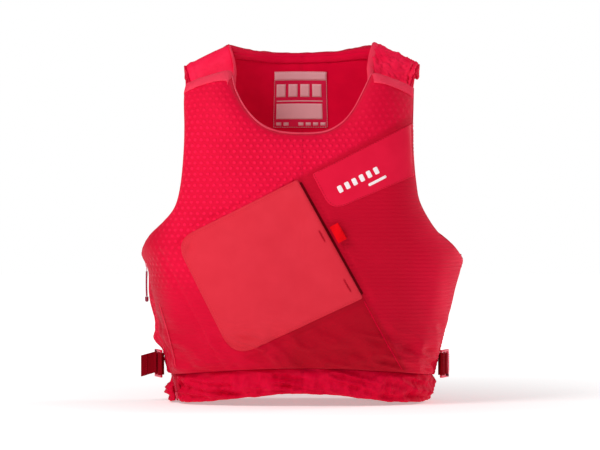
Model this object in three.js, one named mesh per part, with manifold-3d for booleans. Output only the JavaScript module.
// Side-entry foam buoyancy vest, standing on its hem.  Millimetres, +Z up, front towards -Y.
// Left means -X, the zip side; right means +X, the closed side.
import * as THREE from 'three';
import { mergeVertices } from 'three/addons/utils/BufferGeometryUtils.js';
import Module from 'manifold-3d';

const wasm = await Module();
wasm.setup();

// --- driving dimensions ---------------------------------------------------------------------
const centreShiftY = 2;            // moves the whole vest so that its box is centred front to back
const roundness = 2.3;             // exponent of the body section, 2 is an ellipse
const hemHalfWidth = { left: 166, right: 163.5 };
const flare = { left: 0.195, right: 0.2383 };
const flareEnd = 190;              // height where the sides stop spreading
const flareFade = 40;              // height over which they become upright
const hemHalfDepth = 86;
const depthGain = 0.235;
const depthLoss = 0.00055;
const ridgePeak = 474;             // seam surface at the neck end of the shoulder
const ridgeSlope = 106.4;          // fall of the shoulder over the whole half width
const ridgeSoft = 0.15;
const ridgePeakAt = 0.4605;
const shoulderRadius = 120;

const edgeThickness = 7;           // foam at a sewn edge
const foamThickness = 28;          // foam in the middle of a panel
const outwardShare = 0.7;          // part of the padding that stands outside the seam surface
const taperWidth = 35;
const gap = 0.4;
const coverThickness = 1.4;
const linerThickness = 1.2;
const bindingWidth = 2.5;

const seamHeightSide = 37;
const seamRise = 12;               // the waist seam climbs towards the middle
const hemThickness = 5;
const hemArchHalfWidth = 0.65;     // share of the half width that the hem's arch takes
const hemArch = { front: 15, back: 10 };
const beltChannelTop = 70;         // the back padding starts above the waist belt

const zip = { bottomZ: 4, topZ: 190, bottomY: -24, topY: 0, tapeInner: 4.5, tapeOuter: 13.5, coverEdge: 5.2 };
const foamToZip = 18;
const gussetHalf = 12.5;
const strap = { inner: 92, outer: 154, thickness: 7, inset: 20.1, insetAngle: 34 };
const belt = { bottom: 36, top: 64, thickness: 1.6, channelOffset: 6.4 };
const lock = { length: 30, height: 37, thickness: 3.2, bar: 4, windowHeight: 31, centreZ: 50 };
const tab = { length: 24, reach: 13, web: 1.1, slot: 0.8 };
const slider = { z: 184, length: 9, halfWidth: 4.1, plate: 1.4, plateIn: 1.8 };
const pullCord = { diameter: 2.5, length: 33 };

const red = { cover: 0xd4002a, lining: 0xb00020, pocket: 0xdf2f3e, patch: 0xde2440, webbing: 0x8c0014,
  binding: 0xff5566, hem: 0xdc0a32, foam: 0xe8d9d0, plastic: 0xbe1432, tab: 0xe00019 };

// --- outlines, x and z seen from the front --------------------------------------------------
const point = (x, z) => new THREE.Vector2(x, z);
const tipLeft = point(-211.5, 204);
const tipRight = point(214, 193);
const armholeLeft = [tipLeft, point(-194, 226), point(-179, 242), point(-165, 261), point(-158, 289),
  point(-154, 330), point(-153, 364), point(-154, 400), point(-152, 420)];
const armholeRight = [tipRight, point(193, 214), point(174, 231), point(154, 265), point(148, 295),
  point(145, 330), point(144, 356), point(145, 390), point(146, 415)];
const neckFront = [point(-92, 437), point(-88, 418), point(-79, 398), point(-67, 381), point(-51, 367),
  point(-30, 359), point(0, 356.5), point(30, 359), point(51, 370), point(66, 387), point(79, 411), point(90, 434)];
const neckBack = [point(-92, 468), point(-72, 465), point(-45, 461.5), point(0, 461), point(45, 463),
  point(75, 467), point(92, 468)];
const outerCornerBack = 437;       // where the back panel meets the strap at its outer edge

// --- small helpers --------------------------------------------------------------------------
const clamp01 = value => Math.min(1, Math.max(0, value));
const mix = (a, b, share) => a + (b - a) * share;
const signedPower = (value, power) => Math.sign(value) * Math.abs(value) ** power;
const smooth = value => clamp01(value) ** 2 * (3 - 2 * clamp01(value));
const radians = THREE.MathUtils.degToRad;

function toSolid(geometry) {
  const bare = geometry.clone();
  bare.deleteAttribute('normal');
  bare.deleteAttribute('uv');
  const merged = mergeVertices(bare, 1e-4);
  return new wasm.Manifold(new wasm.Mesh({
    numProp: 3,
    vertProperties: new Float32Array(merged.attributes.position.array),
    triVerts: new Uint32Array(merged.index.array),
  }));
}

function toGeometry(solid) {
  const mesh = solid.getMesh();
  const geometry = new THREE.BufferGeometry();
  geometry.setAttribute('position', new THREE.BufferAttribute(new Float32Array(mesh.vertProperties), 3));
  geometry.setIndex([...mesh.triVerts]);
  geometry.computeVertexNormals();
  return geometry;
}

// A prism that runs front to back through everything, with the given outline in x and z.
function prism(outline, fromY = -260, toY = 260) {
  const geometry = new THREE.ExtrudeGeometry(new THREE.Shape(outline), { depth: toY - fromY, bevelEnabled: false });
  geometry.rotateX(Math.PI / 2);
  geometry.translate(0, toY, 0);
  return toSolid(geometry);
}

function block(minimum, maximum) {
  const size = maximum.map((value, axis) => value - minimum[axis]);
  const geometry = new THREE.BoxGeometry(...size);
  geometry.translate(...minimum.map((value, axis) => value + size[axis] / 2));
  return toSolid(geometry);
}

// Moves a closed anticlockwise outline inwards by a distance.
function inset(outline, distance) {
  return outline.map((here, index) => {
    const before = outline[(index + outline.length - 1) % outline.length];
    const after = outline[(index + 1) % outline.length];
    const arriving = here.clone().sub(before).normalize();
    const leaving = after.clone().sub(here).normalize();
    const bisector = point(-arriving.y - leaving.y, arriving.x + leaving.x).normalize();
    const lengthen = Math.max(0.5, bisector.dot(point(-leaving.y, leaving.x)));
    return here.clone().addScaledVector(bisector, distance / lengthen);
  });
}

function distanceToLine(line, x, z) {
  let nearest = Infinity;
  for (let index = 1; index < line.length; index += 1) {
    const along = line[index].clone().sub(line[index - 1]);
    const from = point(x, z).sub(line[index - 1]);
    const share = clamp01(from.dot(along) / along.lengthSq());
    nearest = Math.min(nearest, from.addScaledVector(along, -share).length());
  }
  return nearest;
}

const along = (points, count) => new THREE.SplineCurve(points).getPoints(count);

// --- the body form: the surface that the seams lie on ---------------------------------------
function halfWidth(z, side) {
  const above = Math.min(Math.max(0, z - flareEnd), flareFade);
  return hemHalfWidth[side] + flare[side] * (Math.min(z, flareEnd) + above - above * above / (2 * flareFade));
}

const halfDepth = z => hemHalfDepth + depthGain * z - depthLoss * z * z;
const ridgeHeight = share => ridgePeak - ridgeSlope * (Math.hypot(share, ridgeSoft) - ridgePeakAt);
const seamHeight = share => seamHeightSide + seamRise * (1 - share * share);

// angle is 0 at the middle of the front, 90 at the right side, 180 at the middle of the back
function formPoint(angle, z, reach = 1) {
  const across = signedPower(Math.sin(radians(angle)), 2 / roundness);
  const depth = signedPower(Math.cos(radians(angle)), 2 / roundness);
  const x = halfWidth(z, across < 0 ? 'left' : 'right') * across;
  return new THREE.Vector3(x, -halfDepth(z) * depth * reach, z);
}

const acrossShare = angle => signedPower(Math.sin(radians(angle)), 2 / roundness);

// The angle where the form has the given y at the left or right side.
function angleAtY(y, z, side) {
  const bare = THREE.MathUtils.radToDeg(Math.acos(signedPower(-y / halfDepth(z), roundness / 2)));
  return side === 'left' ? -bare : bare;
}

// A column climbs from the base height straight up and then over the shoulder: rise 0 is the base,
// 1 the spring line, and 1 to 2 the quarter turn to the ridge.
function columnPoint(angle, rise, base) {
  const spring = ridgeHeight(acrossShare(angle)) - shoulderRadius;
  if (rise <= 1) return formPoint(angle, mix(base, spring, rise));
  const turn = (rise - 1) * Math.PI / 2;
  return formPoint(angle, spring + shoulderRadius * Math.sin(turn), Math.cos(turn));
}

function offsetPoint(surface, u, v, distance) {
  const step = 0.004;
  const here = surface(u, v);
  const sideways = surface(u + step, v).sub(surface(u - step, v));
  const upwards = surface(u, v + step).sub(surface(u, v - step));
  const normal = sideways.cross(upwards).normalize();
  return here.addScaledVector(normal, distance);
}

// A unit box whose back face is split along the same diagonals as its front face, so that the facets
// of nested layers stay parallel.
function slabBox(columns, rows) {
  const geometry = new THREE.BoxGeometry(1, 1, 1, columns, rows, 1);
  const { start, count } = geometry.groups[5];
  const corner = offset => geometry.index.getX(start + offset);
  for (let quad = 0; quad < count; quad += 6) {
    const [a, b, c, d] = [corner(quad), corner(quad + 1), corner(quad + 4), corner(quad + 2)];
    [a, b, c, a, c, d].forEach((vertex, place) => geometry.index.setX(start + quad + place, vertex));
  }
  return geometry;
}

// A box bent onto a surface: u and v run 0 to 1, inner and outer are distances along its normal.
function bentSlab(surface, columns, rows, inner, outer) {
  const geometry = slabBox(columns, rows);
  const corners = geometry.attributes.position;
  for (let index = 0; index < corners.count; index += 1) {
    const u = corners.getX(index) + 0.5;
    const v = corners.getY(index) + 0.5;
    const at = surface(u, v);
    const distance = corners.getZ(index) > 0 ? outer(at) : inner(at);
    const moved = offsetPoint(surface, u, v, distance);
    corners.setXYZ(index, moved.x, moved.y, moved.z);
  }
  return toSolid(geometry);
}

// --- panels ---------------------------------------------------------------------------------
const zipY = z => mix(zip.bottomY, zip.topY, clamp01((z - zip.bottomZ) / (zip.topZ - zip.bottomZ)));

const frontOutline = [point(-300, -60), point(300, -60), point(300, tipRight.y),
  ...along(armholeRight, 14), ...along([...neckFront].reverse(), 16), ...along([...armholeLeft].reverse(), 14),
  point(-300, tipLeft.y)];
const backOutline = [point(-300, -60), point(300, -60), point(300, tipRight.y),
  ...along([...armholeRight.slice(0, -1), point(150, outerCornerBack)], 14),
  ...along([...neckBack].reverse(), 10),
  ...along([...armholeLeft.slice(0, -1), point(-154, outerCornerBack)].reverse(), 14), point(-300, tipLeft.y)];
const frontEdgeLine = frontOutline.slice(3, -1);
const backEdgeLine = backOutline.slice(3, -1);

// Foam thickness at a point, thin along every sewn edge.
function padding(at, edgeLine, base) {
  const toZip = at.x < 0 && at.z < 230 ? Math.abs(at.y - zipY(at.z)) - foamToZip : Infinity;
  const toGusset = at.x > 0 && at.z < 230 ? Math.abs(at.y) - gussetHalf : Infinity;
  const clear = Math.min(distanceToLine(edgeLine, at.x, at.z), at.z - base, toZip, toGusset);
  const rise = clamp01(clear / taperWidth);
  return (foamThickness - edgeThickness) * Math.sqrt(1 - (1 - rise) ** 2);
}

const front = {
  base: angle => seamHeight(acrossShare(angle)) + gap / 2,
  extra: at => padding(at, frontEdgeLine, seamHeight(at.x / halfWidth(at.z, 'left'))),
  zipSideAngle: (z, distance) => angleAtY(zipY(z) - distance, z, 'left'),
  closedSideAngle: z => angleAtY(-gussetHalf - gap, z, 'right'),
  zipFirst: true,
  columns: 14,
  rows: 10,
  firstRow: 60,
  topRise: 1.66,
};
const back = {
  base: front.base,
  extra: at => padding(at, backEdgeLine, beltChannelTop),
  zipSideAngle: (z, distance) => 360 + angleAtY(zipY(z) + distance, z, 'left'),
  closedSideAngle: z => angleAtY(gussetHalf + gap, z, 'right'),
  zipFirst: false,
  columns: 14,
  rows: 10,
  firstRow: beltChannelTop,
  topRise: 1.84,
};

// All the layers of a panel share one grid, so that their facets stay parallel. Its first column, at the
// zip, holds no foam: skipped is 1 for the foam and 0 for the other layers.
function panelSurface(panel, skipped = 0) {
  return (u, v) => {
    const row = v * panel.rows;
    const rise = mix(0, panel.topRise, (row - 1) / (panel.rows - 1));
    const sideZ = row < 1 ? mix(seamHeightSide, panel.firstRow, row)
      : Math.min(columnPoint(90, rise, panel.firstRow).z, zip.topZ);
    const column = mix(skipped, panel.columns, panel.zipFirst ? u : 1 - u);
    const foamEdge = panel.zipSideAngle(sideZ, foamToZip);
    const angle = column < 1
      ? mix(panel.zipSideAngle(sideZ, zip.coverEdge), foamEdge, column)
      : mix(foamEdge, panel.closedSideAngle(sideZ), (column - 1) / (panel.columns - 1));
    if (row < 1) return formPoint(angle, mix(panel.base(angle), panel.firstRow, row));
    return columnPoint(angle, rise, panel.firstRow);
  };
}

const outerFoam = (panel, at) => edgeThickness / 2 + outwardShare * panel.extra(at);
const innerFoam = (panel, at) => -edgeThickness / 2 - (1 - outwardShare) * panel.extra(at);

// A layer of a panel: low and high are distances outside the foam's outer face,
// or with inside set, distances inside its inner face.
function layer(panel, low, high, inside = false) {
  const surface = panelSurface(panel);
  const from = inside ? at => innerFoam(panel, at) - high : at => outerFoam(panel, at) + low;
  const to = inside ? at => innerFoam(panel, at) - low : at => outerFoam(panel, at) + high;
  return bentSlab(surface, panel.columns, panel.rows, from, to);
}

function foam(panel) {
  return bentSlab(panelSurface(panel, 1), panel.columns - 1, panel.rows,
    at => innerFoam(panel, at), at => outerFoam(panel, at));
}

const layersInset = bindingWidth + gap;
const frontKeep = prism(inset(frontOutline, layersInset));
const backKeep = prism(inset(backOutline, layersInset));

function edgeRing(panel, outline) {
  const wall = bentSlab(panelSurface(panel), panel.columns, panel.rows,
    () => -edgeThickness / 2 - gap - linerThickness, () => edgeThickness / 2 + gap + coverThickness);
  return wall.intersect(prism(outline).subtract(prism(inset(outline, bindingWidth))));
}

const frontRing = edgeRing(front, frontOutline);
const backRing = edgeRing(back, backOutline);
const neckReach = 96;
const cornerReach = 147;
const junctionZ = 433;
const slice = (solid, fromX, toX, fromZ = -10) => solid.intersect(block([fromX, -260, fromZ], [toX, 260, 600]));

// --- hem ------------------------------------------------------------------------------------
const hemTrim = 1.5;               // cut off below, to leave a flat standing edge
const aboveFloor = block([-300, -300, 0], [300, 300, 100]);

function hemBottom(angle, arch) {
  const share = Math.abs(acrossShare(angle)) / hemArchHalfWidth;
  return (share >= 1 ? 0 : (arch + hemTrim) * Math.cos(share * Math.PI / 2) ** 2) - hemTrim;
}

function hemSurface(fromAngle, toAngle, arch, low = 0, high = 1) {
  return (u, v) => {
    const angle = mix(fromAngle, toAngle, u);
    const bottom = hemBottom(angle, arch);
    const top = seamHeight(acrossShare(angle)) - gap / 2;
    return formPoint(angle, mix(bottom, top, mix(low, high, v)));
  };
}

const hemZipGap = 14;
const hemLeftFront = angleAtY(zip.bottomY - hemZipGap - 1, 10, 'left');
const hemLeftBack = 360 + angleAtY(zip.bottomY + hemZipGap + 5, 10, 'left');
const seamSide = 0.3;

function hemBand(fromAngle, toAngle, arch) {
  return bentSlab(hemSurface(fromAngle, toAngle, arch), 16, 2, () => -hemThickness / 2, () => hemThickness / 2)
    .intersect(aboveFloor);
}

function hemElastic(fromAngle, toAngle, arch) {
  const inner = -hemThickness / 2 - 3 * gap - 1;
  return bentSlab(hemSurface(fromAngle, toAngle, arch, 0.35, 0.85), 16, 1, () => inner, () => inner + 1);
}

// --- shoulder straps ------------------------------------------------------------------------
// turn is 0 on the ridge, negative towards the front
function strapSurface(side, fromTurn, toTurn, innerX = strap.inner, outerX = strap.outer) {
  const sign = side === 'left' ? -1 : 1;
  const [firstX, lastX] = side === 'left' ? [-outerX, -innerX] : [innerX, outerX];
  return (u, v) => {
    const turn = mix(fromTurn, toTurn, v);
    const share = mix(firstX, lastX, u) / halfWidth(400, side);
    const depthShare = (1 - Math.abs(share) ** roundness) ** (1 / roundness);
    const z = ridgeHeight(share) - shoulderRadius * (1 - Math.cos(radians(turn)));
    return new THREE.Vector3(sign * Math.abs(share) * halfWidth(400, side),
      halfDepth(z) * depthShare * Math.sin(radians(turn)), z);
  };
}

function strapLayer(side, fromTurn, toTurn, low, high, steps, innerX, outerX) {
  const surface = strapSurface(side, fromTurn, toTurn, innerX, outerX);
  const sink = v => {
    const turn = Math.abs(Math.min(0, mix(fromTurn, toTurn, v)));
    return -strap.inset * smooth(turn / strap.insetAngle);
  };
  const geometry = slabBox(4, steps);
  const corners = geometry.attributes.position;
  for (let index = 0; index < corners.count; index += 1) {
    const v = corners.getY(index) + 0.5;
    const distance = sink(v) + (corners.getZ(index) > 0 ? high : low);
    const moved = offsetPoint(surface, corners.getX(index) + 0.5, v, distance);
    corners.setXYZ(index, moved.x, moved.y, moved.z);
  }
  return toSolid(geometry);
}

const strapHalf = strap.thickness / 2;
const strapStop = prism(inset(backOutline, -gap), 0, 260);
const strapWidth = block([-strap.outer - 1.5, -260, 0], [strap.outer + 1.5, 260, 600])
  .subtract(block([-strap.inner + 1, -260, 0], [strap.inner - 1, 260, 600]));
const shoulderStrap = side => strapLayer(side, -72, 30, -strapHalf, strapHalf, 11)
  .intersect(strapWidth).subtract(strapStop);
const hookPad = side => strapLayer(side, -68, -50, strapHalf + gap, strapHalf + gap + 1, 3, 99, 147);

// --- pocket, patch and label ----------------------------------------------------------------
const mouthTop = point(-6, 297);
const mouthBottom = point(79, 143);
const mouthDirection = mouthBottom.clone().sub(mouthTop).normalize();
const mouthOut = point(-mouthDirection.y, mouthDirection.x);

function rounded(corners) {
  const shape = new THREE.Shape();
  corners.forEach(({ at, radius = 0 }, index) => {
    const before = corners[(index + corners.length - 1) % corners.length].at;
    const after = corners[(index + 1) % corners.length].at;
    const start = at.clone().addScaledVector(before.clone().sub(at).normalize(), radius);
    const end = at.clone().addScaledVector(after.clone().sub(at).normalize(), radius);
    if (index === 0) shape.moveTo(start.x, start.y);
    else shape.lineTo(start.x, start.y);
    if (radius > 0) shape.quadraticCurveTo(at.x, at.y, end.x, end.y);
  });
  return shape.getPoints(5);
}

const pocketOutline = rounded([
  { at: mouthTop, radius: 3 }, { at: point(-164, 217), radius: 26 },
  { at: point(-91, 57), radius: 26 }, { at: mouthBottom, radius: 3 }]).reverse();
const patchOutline = rounded([
  { at: point(14, 305) }, { at: point(38, 256), radius: 20 }, { at: point(146, 302), radius: 0 },
  { at: point(146, 371) }]);
const labelOutline = [point(-35, 364), point(35, 364), point(35, 438), point(-35, 438)];

// A strip along the pocket mouth, between two distances inside the mouth edge.
function mouthStrip(near, far, endGap = 8) {
  const start = mouthTop.clone().addScaledVector(mouthDirection, endGap);
  const end = mouthBottom.clone().addScaledVector(mouthDirection, -endGap);
  return [start.clone().addScaledVector(mouthOut, -far), end.clone().addScaledVector(mouthOut, -far),
    end.clone().addScaledVector(mouthOut, -near), start.clone().addScaledVector(mouthOut, -near)];
}

const onCover = coverThickness + gap + 0.1;   // what is sewn on clears the cover
const onFront = (low, high, outline) => layer(front, onCover + low, onCover + high).intersect(prism(outline, -260, 0));

// The outward direction on the front, and a point the given distance above the foam.
function frontFrame(x, z, aboveFoam) {
  const side = x < 0 ? 'left' : 'right';
  const share = x / halfWidth(z, side);
  const angle = THREE.MathUtils.radToDeg(Math.asin(signedPower(share, roundness / 2)));
  const surface = (u, v) => formPoint(angle + u * 20, z + v * 20);
  const distance = outerFoam(front, formPoint(angle, z)) + aboveFoam;
  const origin = offsetPoint(surface, 0, 0, distance);
  const normal = offsetPoint(surface, 0, 0, distance + 1).sub(origin).normalize();
  return { origin, normal };
}

// --- zip ------------------------------------------------------------------------------------
const zipLinePoint = z => {
  const bottom = formPoint(angleAtY(zip.bottomY, zip.bottomZ, 'left'), zip.bottomZ);
  const top = formPoint(angleAtY(zip.topY, zip.topZ, 'left'), zip.topZ);
  return bottom.lerp(top, (z - zip.bottomZ) / (zip.topZ - zip.bottomZ));
};
const zipUp = zipLinePoint(zip.topZ).sub(zipLinePoint(zip.bottomZ)).normalize();
const zipSide = new THREE.Vector3().crossVectors(zipUp, new THREE.Vector3(-1, -0.12, 0)).normalize();
const zipOut = new THREE.Vector3().crossVectors(zipSide, zipUp).normalize();

// Places local x outwards, y sideways towards the front, z up along the zip.
function onZip(geometry, z) {
  const matrix = new THREE.Matrix4().makeBasis(zipOut, zipSide, zipUp);
  matrix.setPosition(zipLinePoint(z));
  return geometry.applyMatrix4(matrix);
}

function zipBlock(z, out, side, up) {
  const geometry = new THREE.BoxGeometry(out[1] - out[0], side[1] - side[0], up[1] - up[0]);
  geometry.translate((out[0] + out[1]) / 2, (side[0] + side[1]) / 2, (up[0] + up[1]) / 2);
  return toSolid(onZip(geometry, z));
}

function zipTape(sign) {
  const surface = (u, v) => {
    const z = mix(zip.bottomZ - 1, zip.topZ, v);
    const [near, far] = [zip.tapeInner, zip.tapeOuter];
    const from = angleAtY(zipY(z) + (sign < 0 ? -near : far), z, 'left');
    const to = angleAtY(zipY(z) + (sign < 0 ? -far : near), z, 'left');
    return formPoint(mix(from, to, u), z);
  };
  return bentSlab(surface, 2, 8, () => -0.5, () => 0.5);
}

const coilRange = [16, zip.topZ - 1];
function zipCoil(sign) {
  const length = zipLinePoint(coilRange[1]).distanceTo(zipLinePoint(coilRange[0]));
  const sides = sign < 0 ? [0.9, 2.8] : [-2.8, -0.9];
  return zipBlock(coilRange[0], [-1.3, 1.3], sides, [0, length]);
}

function zipGuard() {
  const surface = (u, v) => {
    const z = mix(zip.bottomZ + 1, zip.topZ - 4, v);
    const y = mix(zipY(z) + 11, zipY(z) - 11, u);
    return formPoint(angleAtY(y, z, 'left'), z);
  };
  const inner = -edgeThickness / 2 - linerThickness - 3 * gap;
  return bentSlab(surface, 3, 8, () => inner - 1, () => inner).intersect(prism(frontOutline));
}

function zipSlider() {
  const half = slider.length / 2;
  const plateOut = slider.plateIn + slider.plate;
  const sides = [-slider.halfWidth, slider.halfWidth];
  const archOut = plateOut + 2.1;
  return zipBlock(slider.z, [slider.plateIn, plateOut], sides, [-half, half])
    .add(zipBlock(slider.z, [-plateOut, -slider.plateIn], sides, [-half, half]))
    .add(zipBlock(slider.z, [-plateOut + 0.2, plateOut - 0.2], [-0.6, 0.6], [1, half - 0.4]))
    .add(zipBlock(slider.z, [plateOut - 0.2, archOut + 0.1], [-1, 1], [-3.9, -2.6]))
    .add(zipBlock(slider.z, [plateOut - 0.2, archOut + 0.1], [-1, 1], [2.6, 3.9]))
    .add(zipBlock(slider.z, [archOut, archOut + 0.9], [-1, 1], [-3.9, 3.9]));
}

const pullerAxis = zipLinePoint(slider.z).addScaledVector(zipOut, slider.plateIn + slider.plate + 1.05);
const pullerDrop = 9.5;

// A flat ring that hangs straight down from the slider's arch, with a solid tongue for the cord.
function zipPuller() {
  const shape = new THREE.Shape([point(-2.9, 0.5), point(-2.9, -6), point(-1.8, -pullerDrop),
    point(1.8, -pullerDrop), point(2.9, -6), point(2.9, 0.5)]);
  shape.holes.push(new THREE.Path([point(-1.8, -0.5), point(1.8, -0.5), point(1.8, -5.4), point(-1.8, -5.4)]));
  const geometry = new THREE.ExtrudeGeometry(shape, { depth: 1, bevelEnabled: false });
  geometry.translate(0, 0, -0.5);
  const matrix = new THREE.Matrix4().makeBasis(
    new THREE.Vector3(0, -1, 0), new THREE.Vector3(0, 0, 1), new THREE.Vector3(-1, 0, 0));
  matrix.setPosition(pullerAxis);
  return toSolid(geometry.applyMatrix4(matrix));
}

const cordTop = pullerAxis.clone().add(new THREE.Vector3(0, 0, -pullerDrop - gap));
const cordBottom = cordTop.clone().add(new THREE.Vector3(0, 0, -pullCord.length));

function cordTube() {
  const section = new THREE.Shape(new THREE.EllipseCurve(0, 0, pullCord.diameter / 2, pullCord.diameter / 2)
    .getPoints(8).slice(0, 8));
  const middle = cordTop.clone().lerp(cordBottom, 0.5).add(new THREE.Vector3(-0.4, 0, 0));
  const path = new THREE.CatmullRomCurve3([cordTop, middle, cordBottom]);
  return toSolid(new THREE.ExtrudeGeometry(section, { steps: 6, extrudePath: path, bevelEnabled: false }));
}

function cordEnd() {
  const profile = [point(0, 0), point(2, 0), point(2.5, -1.2), point(2.5, -5.5), point(1.6, -7), point(0, -7)];
  const geometry = new THREE.LatheGeometry(profile.reverse(), 10);
  geometry.rotateX(Math.PI / 2);
  geometry.translate(cordBottom.x, cordBottom.y, cordBottom.z - gap);
  return toSolid(geometry);
}

// --- waist belt and ladder locks ------------------------------------------------------------
const beltFrom = angleAtY(33, 50, 'right');
const beltTo = 360 + angleAtY(40, 50, 'left');
const beltSurface = (fromAngle, toAngle, bottom, top) => (u, v) =>
  formPoint(mix(fromAngle, toAngle, u), mix(bottom, top, v));

function waistBelt() {
  const inner = belt.channelOffset;
  return bentSlab(beltSurface(beltFrom, beltTo, belt.bottom, belt.top), 14, 1,
    () => inner, () => inner + belt.thickness);
}

function beltKeeper(angle) {
  const over = belt.channelOffset + belt.thickness + gap;
  const piece = (bottom, top, low, high) => bentSlab(
    beltSurface(angle - 4, angle + 4, bottom, top), 1, 1, () => low, () => high);
  const foot = belt.channelOffset + 0.1;
  return piece(belt.bottom - 4, belt.top + 4, over, over + 1.4)
    .add(piece(belt.bottom - 4, belt.bottom - 1, foot, over + 0.2))
    .add(piece(belt.top + 1, belt.top + 4, foot, over + 0.2));
}

const locks = {
  left: { axis: new THREE.Vector3(-187.4, 9, lock.centreZ), lean: -17 },
  right: { axis: new THREE.Vector3(185, 4, lock.centreZ), lean: 20 },
};

// Local x runs from the anchor bar along the lock, z up, y through it; the lean is outwards from +Y.
function onLock(geometry, side, extraLean = 0, from = new THREE.Vector3()) {
  const lean = radians(locks[side].lean + extraLean);
  const alongLock = new THREE.Vector3(Math.sin(lean), Math.cos(lean), 0);
  const up = new THREE.Vector3(0, 0, 1);
  const matrix = new THREE.Matrix4().makeBasis(alongLock, new THREE.Vector3().crossVectors(up, alongLock), up);
  matrix.setPosition(locks[side].axis.clone().add(from));
  return toSolid(geometry.applyMatrix4(matrix));
}

function ladderLock(side) {
  const start = -lock.bar / 2;
  const half = lock.height / 2;
  const window = lock.windowHeight / 2;
  const middle = lock.length / 2 + start;
  const end = start + lock.length;
  const skin = lock.thickness / 2;
  const frame = block([start, -skin, -half], [end, skin, half])
    .subtract(block([lock.bar / 2, -lock.thickness, -window], [middle - lock.bar / 2, lock.thickness, window]))
    .subtract(block([middle + lock.bar / 2, -lock.thickness, -window], [end - lock.bar, lock.thickness, window]));
  return onLock(toGeometry(frame), side);
}

function ring(radius, wall, height, legLength) {
  const outer = new THREE.Shape();
  outer.absarc(0, 0, radius + wall, 0, Math.PI * 2, false);
  outer.holes.push(new THREE.Path().absarc(0, 0, radius, 0, Math.PI * 2, true));
  const hoop = new THREE.ExtrudeGeometry(outer, { depth: height, bevelEnabled: false, curveSegments: 7 });
  hoop.translate(0, 0, -height / 2);
  if (!legLength) return hoop;
  const leg = new THREE.BoxGeometry(legLength, 2 * wall, height);
  leg.translate(-radius - wall / 2 - legLength / 2, 0, 0);
  return toGeometry(toSolid(hoop).add(toSolid(leg)));
}

const anchorTab = side => onLock(ring(3, 1.4, 29, 11), side, -locks[side].lean);
const middleBar = lock.length / 2 - lock.bar / 2;

function beltWrap(side) {
  const geometry = ring(3.1, 1.6, 28);
  geometry.translate(middleBar, 0, 0);
  return onLock(geometry, side);
}

// The free end of the webbing with its folded and stitched tip.
const tails = {
  left: { root: 9, face: 1, lean: 252 - 360 - locks.left.lean, length: 22 },
  right: { root: 27, face: -1, lean: -32, length: 30 },
};

function tailRoot(side) {
  const lean = radians(locks[side].lean);
  const alongLock = new THREE.Vector3(Math.sin(lean), Math.cos(lean), 0);
  const across = new THREE.Vector3().crossVectors(new THREE.Vector3(0, 0, 1), alongLock);
  return alongLock.multiplyScalar(tails[side].root)
    .addScaledVector(across, tails[side].face * (lock.thickness / 2 + 2.2));
}

function beltTail(side) {
  const { length, lean } = tails[side];
  const strip = new THREE.BoxGeometry(length, belt.thickness, 28);
  strip.translate(length / 2, 0, 0);
  const fold = new THREE.BoxGeometry(9, belt.thickness * 2, 28);
  fold.translate(length - 4.5, belt.thickness / 2, 0);
  return onLock(toGeometry(toSolid(strip).add(toSolid(fold))), side, lean, tailRoot(side));
}

// --- pull tab -------------------------------------------------------------------------------
const tabMiddle = point(39.6, 224.4);
const tabFrame = frontFrame(tabMiddle.x, tabMiddle.y, 5.2);
const tabAlong = new THREE.Vector3(mouthDirection.x, 0, mouthDirection.y)
  .projectOnPlane(tabFrame.normal).normalize();
const tabLift = 24;

function pullTab() {
  const half = tab.web + tab.slot / 2;
  const shape = new THREE.Shape();
  shape.moveTo(0, -half);
  shape.lineTo(tab.reach - half, -half);
  shape.absarc(tab.reach - half, 0, half, -Math.PI / 2, Math.PI / 2, false);
  shape.lineTo(0, half);
  shape.lineTo(0, tab.slot / 2);
  shape.lineTo(tab.reach - half, tab.slot / 2);
  shape.absarc(tab.reach - half, 0, tab.slot / 2, Math.PI / 2, -Math.PI / 2, true);
  shape.lineTo(0, -tab.slot / 2);
  const geometry = new THREE.ExtrudeGeometry(shape, { depth: tab.length, bevelEnabled: false, curveSegments: 4 });
  geometry.translate(1, 0, -tab.length / 2);
  const outwards = new THREE.Vector3().crossVectors(tabFrame.normal, tabAlong).normalize();
  const lifted = outwards.clone().multiplyScalar(Math.cos(radians(tabLift)))
    .addScaledVector(tabFrame.normal, Math.sin(radians(tabLift)));
  const through = new THREE.Vector3().crossVectors(tabAlong, lifted);
  const matrix = new THREE.Matrix4().makeBasis(lifted, through, tabAlong);
  if (matrix.determinant() < 0) matrix.makeBasis(lifted, through.negate(), tabAlong);
  matrix.setPosition(tabFrame.origin);
  return toSolid(geometry.applyMatrix4(matrix));
}

// --- assembly -------------------------------------------------------------------------------
const vest = new THREE.Group();
vest.name = 'life_jacket';
vest.position.y = centreShiftY;

// A cut can leave a sliver beside the piece, so only the largest body is kept.
function addPiece(name, solid, color, roughness = 0.85, metalness = 0) {
  const material = new THREE.MeshStandardMaterial({ color, roughness, metalness });
  const main = solid.decompose().reduce((best, body) => (body.volume() > best.volume() ? body : best));
  const mesh = new THREE.Mesh(toGeometry(main), material);
  mesh.name = name;
  vest.add(mesh);
}

for (const [name, panel, keep] of [['front', front, frontKeep], ['back', back, backKeep]]) {
  addPiece(`${name}_cover`, layer(panel, gap, gap + coverThickness).intersect(keep), red.cover);
  addPiece(`${name}_foam`, foam(panel).intersect(keep), red.foam);
  addPiece(`${name}_liner`, layer(panel, gap, gap + linerThickness, true).intersect(keep), red.lining);
}
addPiece('side_gusset', bentSlab(
  (u, v) => {
    const z = mix(seamHeightSide + gap, tipRight.y, v);
    return formPoint(angleAtY(mix(-gussetHalf, gussetHalf, u), z, 'right'), z);
  }, 2, 6, () => -2, () => 2), red.cover);

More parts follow.
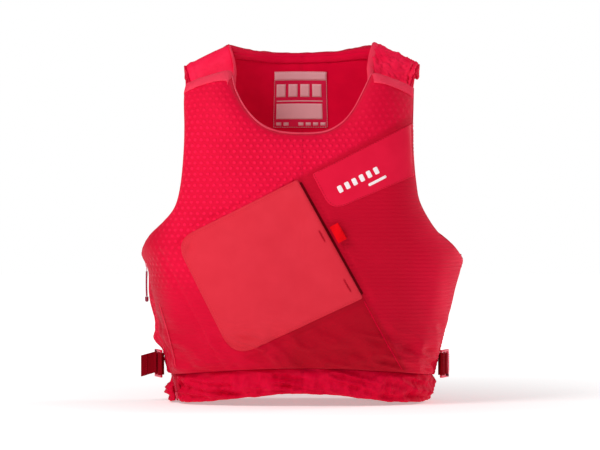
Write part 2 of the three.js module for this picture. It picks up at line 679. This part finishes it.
addPiece('front_neck_binding', slice(frontRing, -neckReach, neckReach, 300), red.binding);
addPiece('back_neck_binding', slice(backRing, -200, 200, junctionZ + gap), red.binding);
for (const [side, sign] of [['left', -1], ['right', 1]]) {
  const part = (solid, near, far, fromZ) => slice(solid, Math.min(sign * near, sign * far),
    Math.max(sign * near, sign * far), fromZ);
  const corner = side === 'left' ? cornerReach + 2 : cornerReach - 6;
  addPiece(`${side}_front_armhole_binding`, part(frontRing, corner + gap, 290, 150), red.binding);
  addPiece(`${side}_tongue_facing`, part(frontRing, neckReach + gap, corner, 380), red.binding);
  addPiece(`${side}_back_armhole_binding`,
    part(backRing, 130, 290, 150).intersect(block([-300, 0, 0], [300, 200, junctionZ])), red.binding);
  addPiece(`${side}_shoulder_strap`, shoulderStrap(side), red.cover);
  addPiece(`${side}_strap_hook_pad`, hookPad(side), red.webbing);
  const padFrom = sign * 99;
  const padTo = sign * 141;
  addPiece(`${side}_tongue_loop_pad`, layer(front, gap + linerThickness + gap, 2 * gap + linerThickness + 1,
    true).intersect(block([Math.min(padFrom, padTo), -260, 372], [Math.max(padFrom, padTo), 0, 402])),
    red.webbing);
}

addPiece('front_hem', hemBand(hemLeftFront, 90 - seamSide, hemArch.front), red.hem);
addPiece('back_hem', hemBand(90 + seamSide, hemLeftBack, hemArch.back), red.hem);
addPiece('front_hem_elastic', hemElastic(hemLeftFront + 4, 86, hemArch.front), red.webbing);
addPiece('back_hem_elastic', hemElastic(94, hemLeftBack - 4, hemArch.back), red.webbing);

addPiece('pocket_lining', onFront(0, 0.6, pocketOutline), red.lining);
addPiece('pocket_loop_strip', onFront(0.9, 1.5, mouthStrip(4, 22)), red.webbing);
addPiece('pocket_hook_strip', onFront(1.8, 2.4, mouthStrip(4, 22)), red.webbing);
addPiece('pocket_panel', onFront(2.7, 4.1, pocketOutline), red.pocket, 0.6);
addPiece('pocket_pull_tab', pullTab(), red.tab);
addPiece('chest_patch', onFront(0, 0.7, patchOutline).intersect(frontKeep), red.patch, 0.7);
addPiece('neck_label', layer(back, 2 * gap + linerThickness, 2 * gap + linerThickness + 0.5, true)
  .intersect(prism(labelOutline, 0, 260)), 0xc89196, 0.7);

addPiece('front_zip_tape', zipTape(-1), red.webbing);
addPiece('back_zip_tape', zipTape(1), red.webbing);
addPiece('front_zip_coil', zipCoil(-1), red.plastic, 0.4);
addPiece('back_zip_coil', zipCoil(1), red.plastic, 0.4);
addPiece('zip_guard', zipGuard(), red.lining);
addPiece('zip_retainer_box', zipBlock(9, [-2.6, 2.6], [-3, 3], [-3.5, 5.5]), red.plastic, 0.4);
addPiece('zip_slider', zipSlider(), red.plastic, 0.35);
addPiece('zip_puller', zipPuller(), red.plastic, 0.35);
addPiece('zip_pull_cord', cordTube(), 0xa53c50);
addPiece('zip_cord_end', cordEnd(), 0x500a28, 0.5);

addPiece('back_waist_belt', waistBelt(), red.webbing);
addPiece('right_belt_keeper', beltKeeper(130), red.webbing);
addPiece('left_belt_keeper', beltKeeper(230), red.webbing);
for (const side of ['left', 'right']) {
  addPiece(`${side}_anchor_tab`, anchorTab(side), red.webbing);
  addPiece(`${side}_ladder_lock`, ladderLock(side), red.plastic, 0.4);
  addPiece(`${side}_belt_wrap`, beltWrap(side), red.webbing);
  addPiece(`${side}_belt_tail`, beltTail(side), red.webbing);
}

export default vest;
